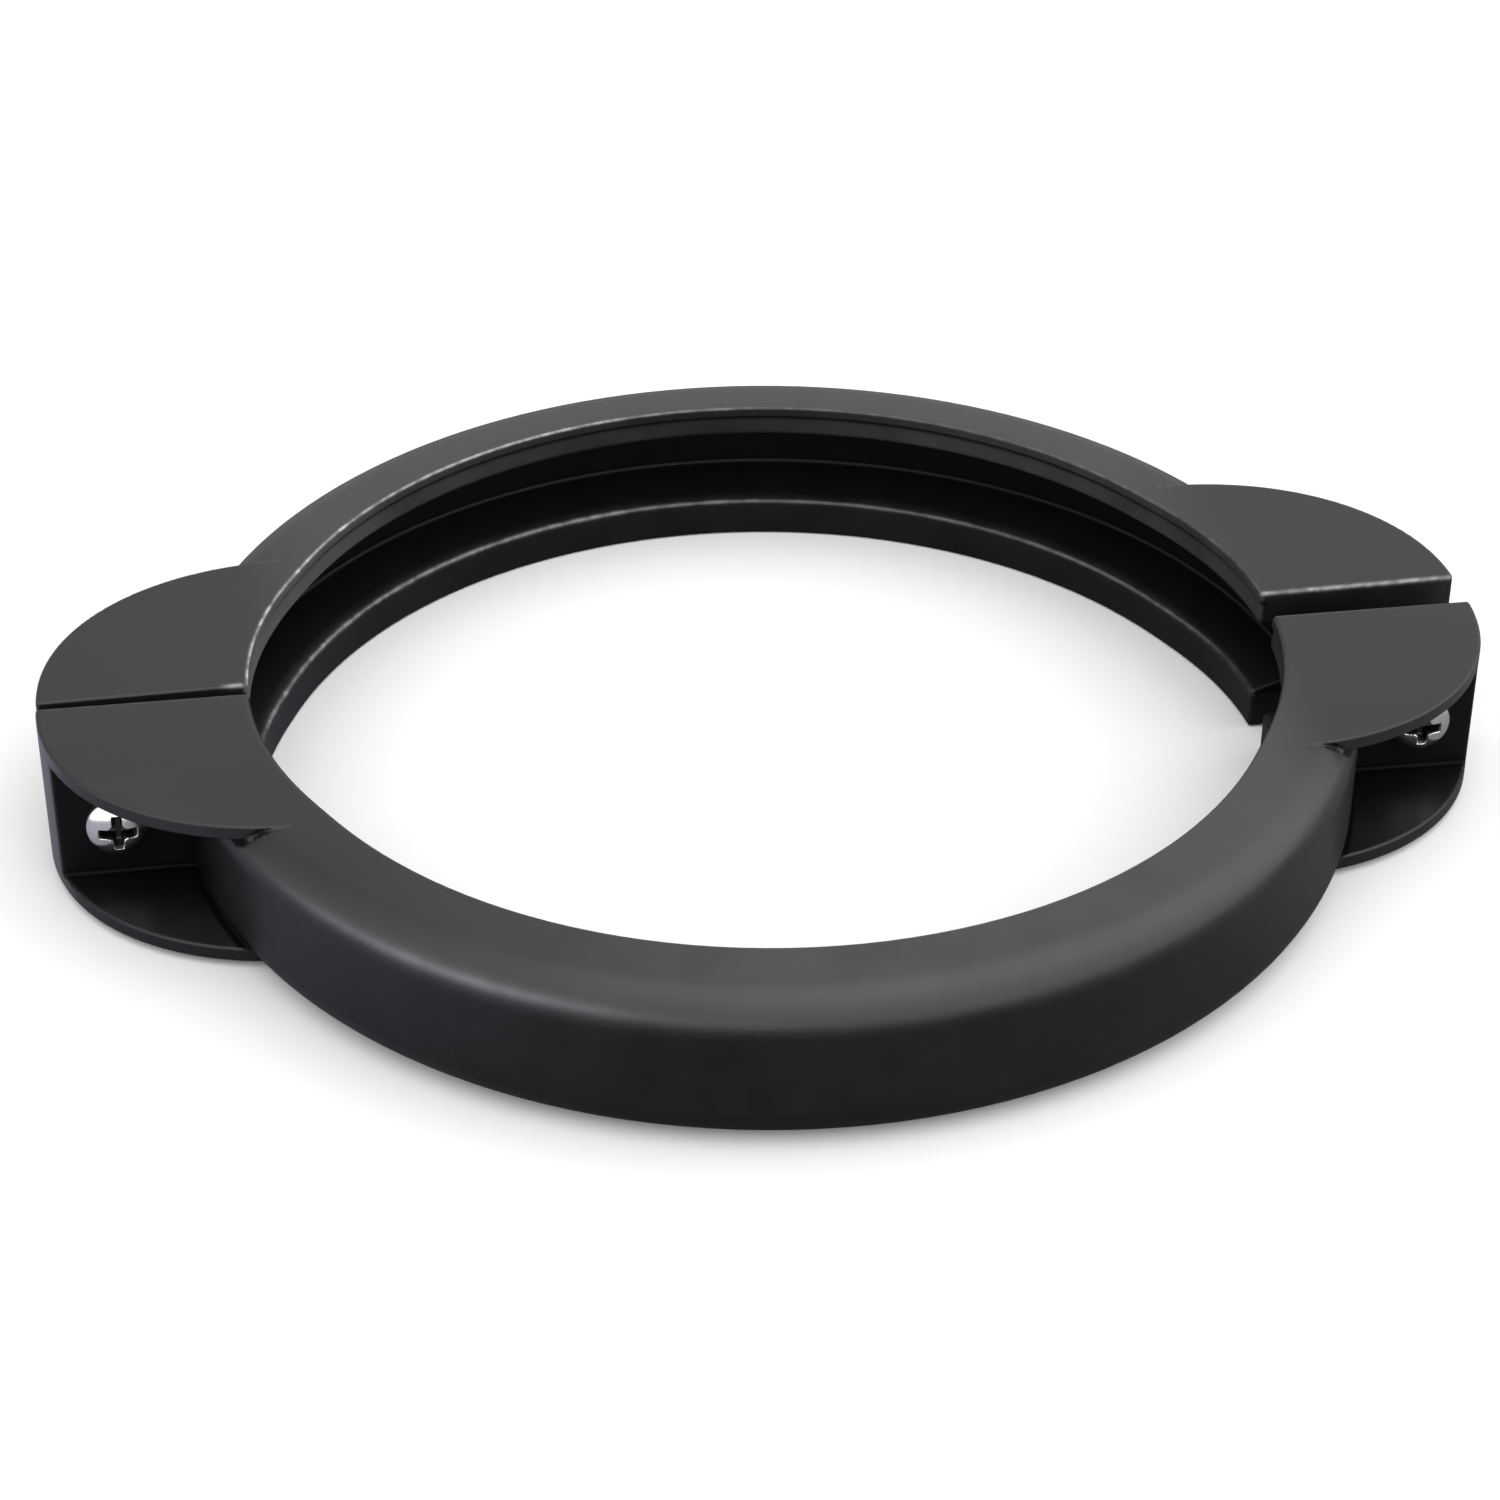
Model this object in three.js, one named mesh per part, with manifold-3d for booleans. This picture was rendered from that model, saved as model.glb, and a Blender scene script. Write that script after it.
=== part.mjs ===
// Two-piece split flange clamp. Two moulded half rings share a wedge-sided groove that pulls a
// pair of round flanges together. A pan-head screw, a nut and a soft thread cap join each pair of ears.
//
// Millimetres, +Z up. The origin is the centre of the ring on its bottom face. The front half is
// towards -Y and holds the screw heads; the rear half is towards +Y and holds the nuts.

import * as THREE from "three";
import { mergeVertices } from "three/addons/utils/BufferGeometryUtils.js";
import Module from "manifold-3d";

const wasm = await Module();
wasm.setup();

// ---------------------------------------------------------------- driving dimensions

const RING = {
  height: 32.2,
  outerRadius: 117.2,
  shoulderRadius: 8.1, // the round between each flat face and the outer wall
  topLipRadius: 100,
  bottomLipRadius: 100.8,
  rootRadius: 112.5, // the wall at the bottom of the groove
  topLip: 6.5, // lip thickness at its free edge
  bottomLip: 8.1,
  topRoot: 10, // lip thickness where it meets the root wall
  bottomRoot: 12,
};

// Near the split the bore widens, as an ellipse that crosses the round bore further round.
const END_RELIEF = { halfWidth: 102.4, halfDepth: 92 };

const SPLIT = {
  setback: 2.9, // from the ring's axis to each half's split face
  restTilt: THREE.MathUtils.degToRad(1.5), // the rear half, turned about the ring's axis
};

const EAR = {
  tipX: 143.3, // the outermost point, at the split face
  curveX: 94.5, // where the outline runs out onto the ring
  innerX: 86,
  reachY: 47, // from the split face
  roundness: 0.58, // how far the outline's handles reach along each side
  plate: 3.1, // thickness of the top and bottom plates
  lift: 1.2, // the bottom plates' underside, above the ring's bottom face
  block: 17, // thickness of the clamping block behind the split face
};

const FASTENER = { x: 129, z: RING.height / 2 };

const HOLE_RADIUS = 4; // clearance holes for the screws
const NUT_SEAT = { depth: 3.4, gap: 0.45, float: 1.1 };

const SCREW = {
  radius: 3,
  length: 54,
  chamfer: 0.8,
  headRadius: 6.2,
  headHeight: 4.6,
  headRim: 1.5, // straight part of the head's side
  recessSpan: 6.4,
  recessWidth: 1.3,
  recessDepth: 2.4,
};

const NUT = {
  acrossFlats: 12.4,
  thickness: 5.3,
  boreRadius: 3.35,
  chamfer: 0.9,
};

const CAP = {
  radius: 3.95,
  rimRadius: 4.2,
  rimLength: 1.2,
  length: 18,
  endRound: 2.4,
  nibRadius: 0.9,
  nibHeight: 0.6,
  boreRadius: 3.2,
  boreDepth: 15.6,
};

const SEAT_GAP = 0.3; // between pieces that rest on one another
const OVERSHOOT = 1; // how far a cutting body runs past the face it opens

const CHAMFER_ANGLE = Math.PI / 6; // between a nut's corner chamfer and its end face

const ROUND_SEGMENTS = 24;
const RING_SEGMENTS = 120;
const SHOULDER_STEPS = 5;
const OUTLINE_STEPS = 12;

// ---------------------------------------------------------------- solids and booleans

// A closed geometry as a solid: shared vertices merged, and triangles that collapse left out.
function solidFrom(geometry) {
  const bare = geometry.clone();
  bare.deleteAttribute("normal");
  bare.deleteAttribute("uv");
  const merged = mergeVertices(bare, 1e-4);
  const corners = merged.index.array;
  const kept = [];
  for (let i = 0; i < corners.length; i += 3) {
    const [a, b, c] = corners.slice(i, i + 3);
    if (a !== b && b !== c && c !== a) kept.push(a, b, c);
  }
  const mesh = new wasm.Mesh({
    numProp: 3,
    vertProperties: merged.attributes.position.array,
    triVerts: new Uint32Array(kept),
  });
  return new wasm.Manifold(mesh);
}

function geometryFrom(solid) {
  const mesh = solid.getMesh();
  const geometry = new THREE.BufferGeometry();
  geometry.setAttribute("position", new THREE.BufferAttribute(mesh.vertProperties, 3));
  geometry.setIndex(new THREE.BufferAttribute(mesh.triVerts, 1));
  geometry.computeVertexNormals();
  return geometry;
}

const union = (solids) => solids.reduce((whole, next) => whole.add(next));
const cut = (body, tools) => tools.reduce((left, tool) => left.subtract(tool), body);

function boxSolid(low, high) {
  const size = high.map((value, i) => value - low[i]);
  const centre = high.map((value, i) => (value + low[i]) / 2);
  const geometry = new THREE.BoxGeometry(...size);
  geometry.translate(...centre);
  return solidFrom(geometry);
}

// Turns a [radius, height] profile about the vertical axis.
function revolve(profile, segments) {
  const points = profile.map(([radius, height]) => new THREE.Vector2(radius, height));
  const geometry = new THREE.LatheGeometry(points, segments);
  geometry.rotateX(Math.PI / 2);
  return solidFrom(geometry);
}

// A shape in the XY plane, raised along +Z from one height to another.
function raise(shape, low, high) {
  const geometry = new THREE.ExtrudeGeometry(shape, {
    depth: high - low,
    bevelEnabled: false,
    curveSegments: OUTLINE_STEPS,
  });
  geometry.translate(0, 0, low);
  return solidFrom(geometry);
}

// A solid of revolution stands on +Z. Fasteners lie along +Y, so this lays it down.
function layAlongY(solid) {
  const geometry = geometryFrom(solid);
  geometry.rotateX(-Math.PI / 2);
  return geometry;
}

// Points on a quarter circle about [radius, height], from one angle to another in degrees.
function arc([radius, height], size, from, to, steps) {
  const points = [];
  for (let i = 0; i <= steps; i += 1) {
    const angle = THREE.MathUtils.degToRad(from + ((to - from) * i) / steps);
    points.push([radius + size * Math.cos(angle), height + size * Math.sin(angle)]);
  }
  return points;
}

// ---------------------------------------------------------------- the half ring

// The ring's outside as one thick tube with rounded shoulders, before the bore is cut.
function ringEnvelope() {
  const inner = RING.topLipRadius - 2 * OVERSHOOT;
  const centre = RING.outerRadius - RING.shoulderRadius;
  const profile = [
    [inner, 0],
    ...arc([centre, RING.shoulderRadius], RING.shoulderRadius, -90, 0, SHOULDER_STEPS),
    ...arc([centre, RING.height - RING.shoulderRadius], RING.shoulderRadius, 0, 90, SHOULDER_STEPS),
    [inner, RING.height],
    [inner, 0],
  ];
  return revolve(profile, RING_SEGMENTS);
}

// The bore and the wedge-sided groove, as one spool-shaped cutting body.
function boreAndGroove() {
  const { height, topLipRadius, bottomLipRadius, rootRadius } = RING;
  const profile = [
    [0, -OVERSHOOT],
    [bottomLipRadius, -OVERSHOOT],
    [bottomLipRadius, RING.bottomLip],
    [rootRadius, RING.bottomRoot],
    [rootRadius, height - RING.topRoot],
    [topLipRadius, height - RING.topLip],
    [topLipRadius, height + OVERSHOOT],
    [0, height + OVERSHOOT],
  ];
  return revolve(profile, RING_SEGMENTS);
}

function endRelief() {
  const height = RING.height + 2 * OVERSHOOT;
  const geometry = new THREE.CylinderGeometry(1, 1, height, RING_SEGMENTS);
  geometry.rotateX(Math.PI / 2);
  geometry.scale(END_RELIEF.halfWidth, END_RELIEF.halfDepth, 1);
  geometry.translate(0, 0, RING.height / 2);
  return solidFrom(geometry);
}

// The outline of one ear of the half towards -Y: straight along the split face, then a rounded
// corner that runs out flush with the ring.
function earOutline(side) {
  const face = -SPLIT.setback;
  const end = face - EAR.reachY;
  const handleX = EAR.curveX + EAR.roundness * (EAR.tipX - EAR.curveX);
  const handleY = face - EAR.roundness * EAR.reachY;
  const shape = new THREE.Shape();
  shape.moveTo(side * EAR.innerX, face);
  shape.lineTo(side * EAR.tipX, face);
  shape.bezierCurveTo(side * EAR.tipX, handleY, side * handleX, end, side * EAR.curveX, end);
  shape.lineTo(side * EAR.innerX, end);
  shape.closePath();
  return shape;
}

// One ear: a top and a bottom plate, joined behind the split face by the clamping block.
function ear(side) {
  const body = raise(earOutline(side), EAR.lift, RING.height);
  const blockFace = -SPLIT.setback - EAR.block;
  const near = side * (EAR.innerX - OVERSHOOT);
  const far = side * (EAR.tipX + OVERSHOOT);
  const pocket = boxSolid(
    [Math.min(near, far), blockFace - EAR.reachY, EAR.lift + EAR.plate],
    [Math.max(near, far), blockFace, RING.height - EAR.plate],
  );
  return body.subtract(pocket);
}

function screwHole(side) {
  const geometry = new THREE.CylinderGeometry(HOLE_RADIUS, HOLE_RADIUS, 2 * EAR.block, ROUND_SEGMENTS);
  geometry.translate(side * FASTENER.x, -SPLIT.setback - EAR.block / 2, FASTENER.z);
  return solidFrom(geometry);
}

// A six-sided seat in the block's outer face. It is stretched sideways, so that the nut can float.
function nutSeat(side) {
  const flat = NUT.acrossFlats / 2 + NUT_SEAT.gap;
  const corner = flat / Math.cos(Math.PI / 6);
  const shape = new THREE.Shape();
  shape.moveTo(corner + NUT_SEAT.float, 0);
  shape.lineTo(corner / 2 + NUT_SEAT.float, flat);
  shape.lineTo(-corner / 2 - NUT_SEAT.float, flat);
  shape.lineTo(-corner - NUT_SEAT.float, 0);
  shape.lineTo(-corner / 2 - NUT_SEAT.float, -flat);
  shape.lineTo(corner / 2 + NUT_SEAT.float, -flat);
  shape.closePath();
  const geometry = new THREE.ExtrudeGeometry(shape, { depth: NUT_SEAT.depth + OVERSHOOT, bevelEnabled: false });
  geometry.rotateX(Math.PI / 2);
  geometry.translate(side * FASTENER.x, -SPLIT.setback - EAR.block + NUT_SEAT.depth, FASTENER.z);
  return solidFrom(geometry);
}

// Half of the ring with its two ears, towards -Y.
function halfRing(withNutSeats) {
  const sides = [-1, 1];
  const reach = EAR.tipX + OVERSHOOT;
  const otherHalf = boxSolid([-reach, -SPLIT.setback, -OVERSHOOT], [reach, reach, RING.height + OVERSHOOT]);
  const whole = union([ringEnvelope().subtract(otherHalf), ...sides.map(ear)]);
  const tools = [boreAndGroove(), endRelief(), ...sides.map(screwHole)];
  if (withNutSeats) tools.push(...sides.map(nutSeat));
  return geometryFrom(cut(whole, tools));
}

// ---------------------------------------------------------------- the fasteners

// A pan head and a full-length shank at the thread's major diameter. The bearing face of the head
// is at the origin, and the tip points to +Y.
function screw() {
  const { radius, length, chamfer, headRadius, headHeight, headRim } = SCREW;
  const crown = headHeight - headRim;
  const dome = arc([0, 0], 1, -90, 0, SHOULDER_STEPS).map(([x, y]) => [
    x * headRadius,
    y * crown - headRim,
  ]);
  const profile = [
    ...dome,
    [headRadius, 0],
    [radius, 0],
    [radius, length - chamfer],
    [radius - chamfer, length],
    [0, length],
  ];
  const body = revolve(profile, ROUND_SEGMENTS);
  const top = -headHeight - OVERSHOOT;
  const bottom = -headHeight + SCREW.recessDepth;
  const span = SCREW.recessSpan / 2;
  const width = SCREW.recessWidth / 2;
  const slots = [
    boxSolid([-span, -width, top], [span, width, bottom]),
    boxSolid([-width, -span, top], [width, span, bottom]),
  ];
  return layAlongY(cut(body, slots));
}

// A hexagon nut with its corners chamfered at both ends. Its bearing face is at the origin.
function nut() {
  const { acrossFlats, thickness, boreRadius, chamfer } = NUT;
  const cornerRadius = acrossFlats / 2 / Math.cos(Math.PI / 6);
  const prism = new THREE.CylinderGeometry(cornerRadius, cornerRadius, thickness, 6);
  prism.rotateX(Math.PI / 2);
  prism.rotateZ(Math.PI / 6);
  prism.translate(0, 0, thickness / 2);
  const ends = cornerRadius - chamfer;
  const wide = cornerRadius + OVERSHOOT;
  const slope = (wide - ends) * Math.tan(CHAMFER_ANGLE);
  const envelope = revolve(
    [
      [0, 0],
      [ends, 0],
      [wide, slope],
      [wide, thickness - slope],
      [ends, thickness],
      [0, thickness],
    ],
    ROUND_SEGMENTS,
  );
  const bore = new THREE.CylinderGeometry(boreRadius, boreRadius, 2 * thickness, ROUND_SEGMENTS);
  bore.rotateX(Math.PI / 2);
  bore.translate(0, 0, thickness / 2);
  return layAlongY(solidFrom(prism).intersect(envelope).subtract(solidFrom(bore)));
}

// A round-ended vinyl cap with a rim at its mouth. The mouth is at the origin and the closed end
// points to +Y.
function threadCap() {
  const { radius, length, endRound, boreRadius, boreDepth } = CAP;
  const end = length - CAP.nibHeight;
  const profile = [
    [0, boreDepth],
    [boreRadius, boreDepth],
    [boreRadius, 0],
    [CAP.rimRadius, 0],
    [CAP.rimRadius, CAP.rimLength],
    [radius, CAP.rimLength + (CAP.rimRadius - radius)],
    ...arc([radius - endRound, end - endRound], endRound, 0, 90, SHOULDER_STEPS),
    [CAP.nibRadius, end],
    [CAP.nibRadius, length],
    [0, length],
  ];
  return layAlongY(revolve(profile, ROUND_SEGMENTS));
}

// ---------------------------------------------------------------- the assembly

const FINISH = {
  moulded: { color: 0x232427, roughness: 0.55, metalness: 0 },
  nickel: { color: 0xc9c7c0, roughness: 0.25, metalness: 1 },
  vinyl: { color: 0x0b0b0d, roughness: 0.2, metalness: 0 },
};

function piece(name, geometry, finish) {
  const mesh = new THREE.Mesh(geometry, new THREE.MeshStandardMaterial(FINISH[finish]));
  mesh.name = name;
  return mesh;
}

// Where a point fixed to the rear half lies along a screw's axis, given its depth from the split face.
function rearDepthAt(x, depth) {
  const fromAxis = SPLIT.setback + depth;
  return fromAxis / Math.cos(SPLIT.restTilt) + x * Math.tan(SPLIT.restTilt);
}

// A screw, its nut and its cap on one axis, placed by the screw's bearing face on the front block.
function fastenerSet(label, side) {
  const x = side * FASTENER.x;
  const headSeat = -SPLIT.setback - EAR.block - SEAT_GAP;
  const nutDepth = EAR.block - NUT_SEAT.depth;
  const nutBearing = rearDepthAt(x, nutDepth) + SEAT_GAP;
  const set = new THREE.Group();
  set.position.set(x, 0, FASTENER.z);

  const screwMesh = piece(`${label}_screw`, screw(), "nickel");
  screwMesh.position.y = headSeat;
  const nutMesh = piece(`${label}_nut`, nut(), "nickel");
  nutMesh.position.y = nutBearing;
  const capMesh = piece(`${label}_cap`, threadCap(), "vinyl");
  capMesh.position.y = nutBearing + NUT.thickness + SEAT_GAP;

  set.add(screwMesh, nutMesh, capMesh);
  return set;
}

const clamp = new THREE.Group();
clamp.add(piece("front_half", halfRing(false), "moulded"));

const rearHalf = piece("rear_half", halfRing(true), "moulded");
rearHalf.rotation.z = Math.PI + SPLIT.restTilt;
clamp.add(rearHalf);

clamp.add(fastenerSet("left", -1), fastenerSet("right", 1));

export default clamp;
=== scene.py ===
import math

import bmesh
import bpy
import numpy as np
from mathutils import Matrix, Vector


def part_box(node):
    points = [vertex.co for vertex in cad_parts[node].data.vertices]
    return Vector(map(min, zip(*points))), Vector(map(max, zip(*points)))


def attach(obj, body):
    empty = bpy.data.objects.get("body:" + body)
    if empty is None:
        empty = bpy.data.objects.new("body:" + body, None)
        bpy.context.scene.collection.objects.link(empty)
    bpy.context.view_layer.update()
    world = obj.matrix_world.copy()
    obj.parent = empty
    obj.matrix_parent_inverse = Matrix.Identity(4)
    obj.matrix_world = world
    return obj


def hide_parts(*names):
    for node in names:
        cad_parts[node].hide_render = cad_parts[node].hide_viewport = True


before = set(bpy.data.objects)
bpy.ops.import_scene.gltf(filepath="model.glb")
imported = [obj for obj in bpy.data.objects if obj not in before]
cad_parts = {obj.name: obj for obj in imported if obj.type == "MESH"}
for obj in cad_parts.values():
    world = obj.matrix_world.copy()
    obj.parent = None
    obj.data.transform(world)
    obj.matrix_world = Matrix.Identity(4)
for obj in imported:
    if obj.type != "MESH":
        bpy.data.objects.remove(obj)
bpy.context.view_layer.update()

# A two-piece split flange clamp: two moulded half rings with ears, drawn together by a screw, a nut
# and a vinyl thread cap at each side.
#
# The moulded halves, the screw heads and the nuts are written as distance functions, which are
# negative inside the material and positive outside it. Their surfaces are then meshed on a grid and
# each vertex is moved onto the true surface. Threads and caps are swept and turned profiles.
# Shapes are in millimetres in code, and in metres in the scene.

MM = 0.001

# ---------------------------------------------------------------- sizes taken from the frame


def node_points(node):
    """A CAD node's vertices in millimetres, one row each."""
    return np.array([vertex.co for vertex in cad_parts[node].data.vertices]) / MM


def box_mm(node):
    """A CAD node's low and high corners in millimetres."""
    low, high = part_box(node)
    return np.array(low) / MM, np.array(high) / MM


FRONT = node_points("front_half")
REAR = node_points("rear_half")
FRONT_RADII = np.hypot(FRONT[:, 0], FRONT[:, 1])

HEIGHT = FRONT[:, 2].max()
MIDDLE = HEIGHT / 2
OUTER = -FRONT[:, 1].min()
SETBACK = -FRONT[:, 1].max()
TIP_X = FRONT[:, 0].max()
EAR_LIFT = FRONT[FRONT[:, 0] > 0.9 * TIP_X][:, 2].min()
TOP_LIP = FRONT_RADII[FRONT[:, 2] > 0.9 * HEIGHT].min()
BOTTOM_LIP = FRONT_RADII[FRONT[:, 2] < 0.1 * HEIGHT].min()
AT_SPLIT = FRONT[(FRONT[:, 1] > -SETBACK - 0.1) & (FRONT[:, 2] > 0.9 * HEIGHT)]
RELIEF_X = np.abs(AT_SPLIT[:, 0]).min()  # the bore's half width at the split

# The rear half's tilt follows from the outermost corners of its split face.
RIGHT_CORNER = REAR[np.argmax(REAR[:, 0] - REAR[:, 1])]
LEFT_CORNER = REAR[np.argmax(-REAR[:, 0] - REAR[:, 1])]
REST_TILT = math.atan2(RIGHT_CORNER[1] - LEFT_CORNER[1], RIGHT_CORNER[0] - LEFT_CORNER[0])

SCREW_BOX = box_mm("left_screw")
NUT_BOX = box_mm("left_nut")
CAP_BOX = box_mm("left_cap")
FASTENER_X = -(SCREW_BOX[0][0] + SCREW_BOX[1][0]) / 2
FASTENER_Z = (SCREW_BOX[0][2] + SCREW_BOX[1][2]) / 2
HEAD_RADIUS = (SCREW_BOX[1][0] - SCREW_BOX[0][0]) / 2
SCREW_TOTAL = SCREW_BOX[1][1] - SCREW_BOX[0][1]
NUT_FLATS = NUT_BOX[1][2] - NUT_BOX[0][2]
NUT_THICKNESS = NUT_BOX[1][1] - NUT_BOX[0][1]
CAP_LENGTH = CAP_BOX[1][1] - CAP_BOX[0][1]
CAP_RIM = (CAP_BOX[1][0] - CAP_BOX[0][0]) / 2

# ---------------------------------------------------------------- sizes of the details

SHOULDER = 8.1  # round between each flat face and the outer wall
ROOT = 112.5  # radius of the wall at the bottom of the groove
LIP_TOP = (6.5, 10.0)  # thickness of the upper lip, at its edge and at the root
LIP_BOTTOM = (8.1, 12.0)
ROOT_FILLET = 0.8
CROWN = 0.3  # fall of the ring's flat faces from the bore to the shoulder
EDGE = 0.55  # round on the moulded edges
FRONT_LIP_EDGE = 1.2  # the front half's lip is worn softer than the rear half's
REAR_LIP_EDGE = 0.45
SPLIT_EDGE = 0.7

RELIEF_Y = 92.0  # near the split the bore is an ellipse of half width RELIEF_X and this half depth

BEAD_HEIGHT = 2.3  # a slightly proud band along the upper lip's inner edge
BEAD_PROUD = 0.2
QUIRK_DEPTH = 0.5  # the step below that band, which fades out further down the lip
QUIRK_FADE = 4.0

EAR_CURVE_X = 94.5
EAR_REACH = 47.0
EAR_INNER_X = 86.0
EAR_POWER = 2.088  # 2 would make the outline a quarter ellipse
PLATE = 3.1
BLOCK = 17.0
POCKET_FILLET = 0.7
PLATE_FADE = 0.4  # fillet where a plate's edge runs out on the ring's upper face
WALL_FILLET = 0.3
WALL_FILLET_FADE = 2.5  # depth below each face over which the wall fillet grows

HOLE = 4.0
SEAT_DEPTH = 3.4
SEAT_GAP = 0.45
SEAT_FLOAT = 1.1

HEAD_HEIGHT = 4.6
HEAD_RIM = 1.5
THREAD = 3.0
PITCH = 1.0
THREAD_DEPTH = 0.6134 * PITCH
TIP_CHAMFER = 0.8
SLIVER = 0.004  # vertices closer than this are merged in the screws
SHARP_ANGLE = 32  # degrees above which a screw's edge stays sharp

# The cross recess: sizes at the top of the head, and how much each shrinks per mm of depth.
WING_REACH, WING_REACH_TAPER = 4.1, 0.62
WING_WIDTH, WING_WIDTH_TAPER = 1.05, 0.16
CORE_RADIUS, CORE_TAPER = 2.0, 0.45
RECESS_DEPTH = 2.7

NUT_CHAMFER = 0.95
NUT_BORE = 3.25
NUT_RIDGE = 0.12  # height of the thread in the nut's bore
NUT_ENTRY = 0.8  # depth of the countersink at each end of the bore

CAP_BORE = 3.2
CAP_DEPTH = 15.6
CAP_WALL_STEP = 0.25  # the rim stands this far proud of the body
CAP_NIB = 0.6
CAP_UNEVEN = 0.006  # how far the dipped body strays from round, as a share of its radius

SHEEN_TILT = 66.0  # the painted sheen on the front half's shoulder: degrees round the shoulder, and round the ring
SHEEN_BEARING = -128.0
# painted light on the left ear's tip
SHEEN_TIP = 0.15

CAVITY_REACH = 1.5  # how far off the surface the measure for the painted crevice shade looks
LIP_BAND = 3.2  # how far from the bore the painted light on the upper lip reaches

NEWTON_STEPS = 4  # moves that put each mesh vertex on the true surface
NEWTON_LIMIT = 0.3  # the longest that each may be

COS30 = math.cos(math.radians(30))

# ---------------------------------------------------------------- distance functions


def both(a, b, radius=0.0):
    """The part inside both a and b, with the edge between them rounded."""
    rounded = np.hypot(np.maximum(a + radius, 0), np.maximum(b + radius, 0))
    return np.minimum(np.maximum(a, b), -radius) + rounded


def either(a, b, radius=0.0):
    """The part inside a or b, with a fillet between them."""
    filled = np.hypot(np.maximum(radius - a, 0), np.maximum(radius - b, 0))
    return np.maximum(np.minimum(a, b), radius) - filled


def without(a, tool, radius=0.0):
    return both(a, -tool, radius)


def smooth_step(value, low, high):
    t = np.clip((value - low) / (high - low), 0, 1)
    return t * t * (3 - 2 * t)


def bore_radius(x, y, z):
    """The radius of the lips' inner faces, with the bead and the step below it at the top."""
    between = smooth_step(z, LIP_BOTTOM[0] + 2, HEIGHT - LIP_TOP[0] - 2)
    lip = BOTTOM_LIP + (TOP_LIP - BOTTOM_LIP) * between
    over = np.hypot(x, y) / np.hypot(x / RELIEF_X, y / RELIEF_Y) - lip
    lip = lip + (over + np.hypot(over, 0.5)) / 2
    below = HEIGHT - BEAD_HEIGHT - z
    step = smooth_step(below, -0.15, 0.15)
    fade = 1 - np.clip(below / QUIRK_FADE, 0, 1)
    return lip + (BEAD_PROUD + QUIRK_DEPTH * fade) * step * between


def groove(radius, z):
    """The wedge-sided groove, open towards the bore."""
    top_slope = (LIP_TOP[1] - LIP_TOP[0]) / (ROOT - TOP_LIP)
    bottom_slope = (LIP_BOTTOM[1] - LIP_BOTTOM[0]) / (ROOT - BOTTOM_LIP)
    top = z - (HEIGHT - LIP_TOP[0] - top_slope * (radius - TOP_LIP))
    bottom = LIP_BOTTOM[0] + bottom_slope * (radius - BOTTOM_LIP) - z
    top = top / math.hypot(1, top_slope)
    bottom = bottom / math.hypot(1, bottom_slope)
    return both(both(radius - ROOT, top, ROOT_FILLET), bottom, ROOT_FILLET)


def ear(side, y, z):
    """Both ears: an outline that runs out onto the ring, with a pocket between two plates."""
    across = np.maximum(side - EAR_CURVE_X, 0) / (TIP_X - EAR_CURVE_X)
    along = np.maximum(-SETBACK - y, 0) / EAR_REACH
    spread = (across**EAR_POWER + along**EAR_POWER) ** (1 / EAR_POWER)
    outline = (spread - 1) * EAR_REACH
    slab = np.abs(z - (HEIGHT + EAR_LIFT) / 2) - (HEIGHT - EAR_LIFT) / 2
    pocket = both(y + SETBACK + BLOCK, slab + PLATE, POCKET_FILLET)
    body = without(both(outline, slab, EDGE), pocket, EDGE)
    return np.maximum(body, EAR_INNER_X - side)


def nut_seat(side, y, rise):
    flat = NUT_FLATS / 2 + SEAT_GAP
    offset = np.abs(side - FASTENER_X) - SEAT_FLOAT
    hexagon = both(rise - flat, offset * COS30 + rise / 2 - flat, 0.3)
    return both(hexagon, y + SETBACK + BLOCK - SEAT_DEPTH, 0.3)


def half_ring(x, y, z, seats):
    """One moulded half, on the side of -Y."""
    side = np.abs(x)
    radius = np.hypot(x, y)
    rise = np.abs(z - FASTENER_Z)
    outward = np.clip((radius - TOP_LIP) / (OUTER - SHOULDER - TOP_LIP), 0, 1)
    slab = np.abs(z - MIDDLE) - MIDDLE
    ring = both(radius - OUTER, slab + CROWN * outward**2, SHOULDER)
    fillet = PLATE_FADE + WALL_FILLET * np.clip(-slab / WALL_FILLET_FADE, 0, 1)
    body = np.maximum(either(ring, ear(side, y, z), fillet), slab)
    body = both(body, bore_radius(x, y, z) - radius, REAR_LIP_EDGE if seats else FRONT_LIP_EDGE)
    body = without(body, groove(radius, z), EDGE)
    body = without(body, np.hypot(side - FASTENER_X, rise) - HOLE, EDGE)
    if seats:
        body = without(body, nut_seat(side, y, rise), 0.4)
    return both(body, y + SETBACK, SPLIT_EDGE)


def screw_head(x, y, z):
    """A pan head with a cross recess. Its bearing face is at z 0 and its crown is towards -Z."""
    crown = HEAD_HEIGHT - HEAD_RIM
    radius = np.hypot(x, y)
    up = np.maximum(-HEAD_RIM - z, 0)
    size = np.maximum(np.hypot(radius / HEAD_RADIUS, up / crown), 1e-6)
    slope = np.maximum(np.hypot(radius / HEAD_RADIUS**2, up / crown**2), 1e-6)
    dome = size * (size - 1) / slope
    body = both(dome, z, 0.35)
    depth = z + HEAD_HEIGHT
    reach = WING_REACH - WING_REACH_TAPER * depth
    width = WING_WIDTH - WING_WIDTH_TAPER * depth
    wings = [both(np.abs(b) - width, np.abs(a) - reach, 0.2) for a, b in ((x, y), (y, x))]
    centre = radius - (CORE_RADIUS - CORE_TAPER * depth)
    recess = either(either(*wings, 0.25), centre, 0.3)
    return without(body, both(recess, depth - RECESS_DEPTH, 0.3), 0.16)


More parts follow.
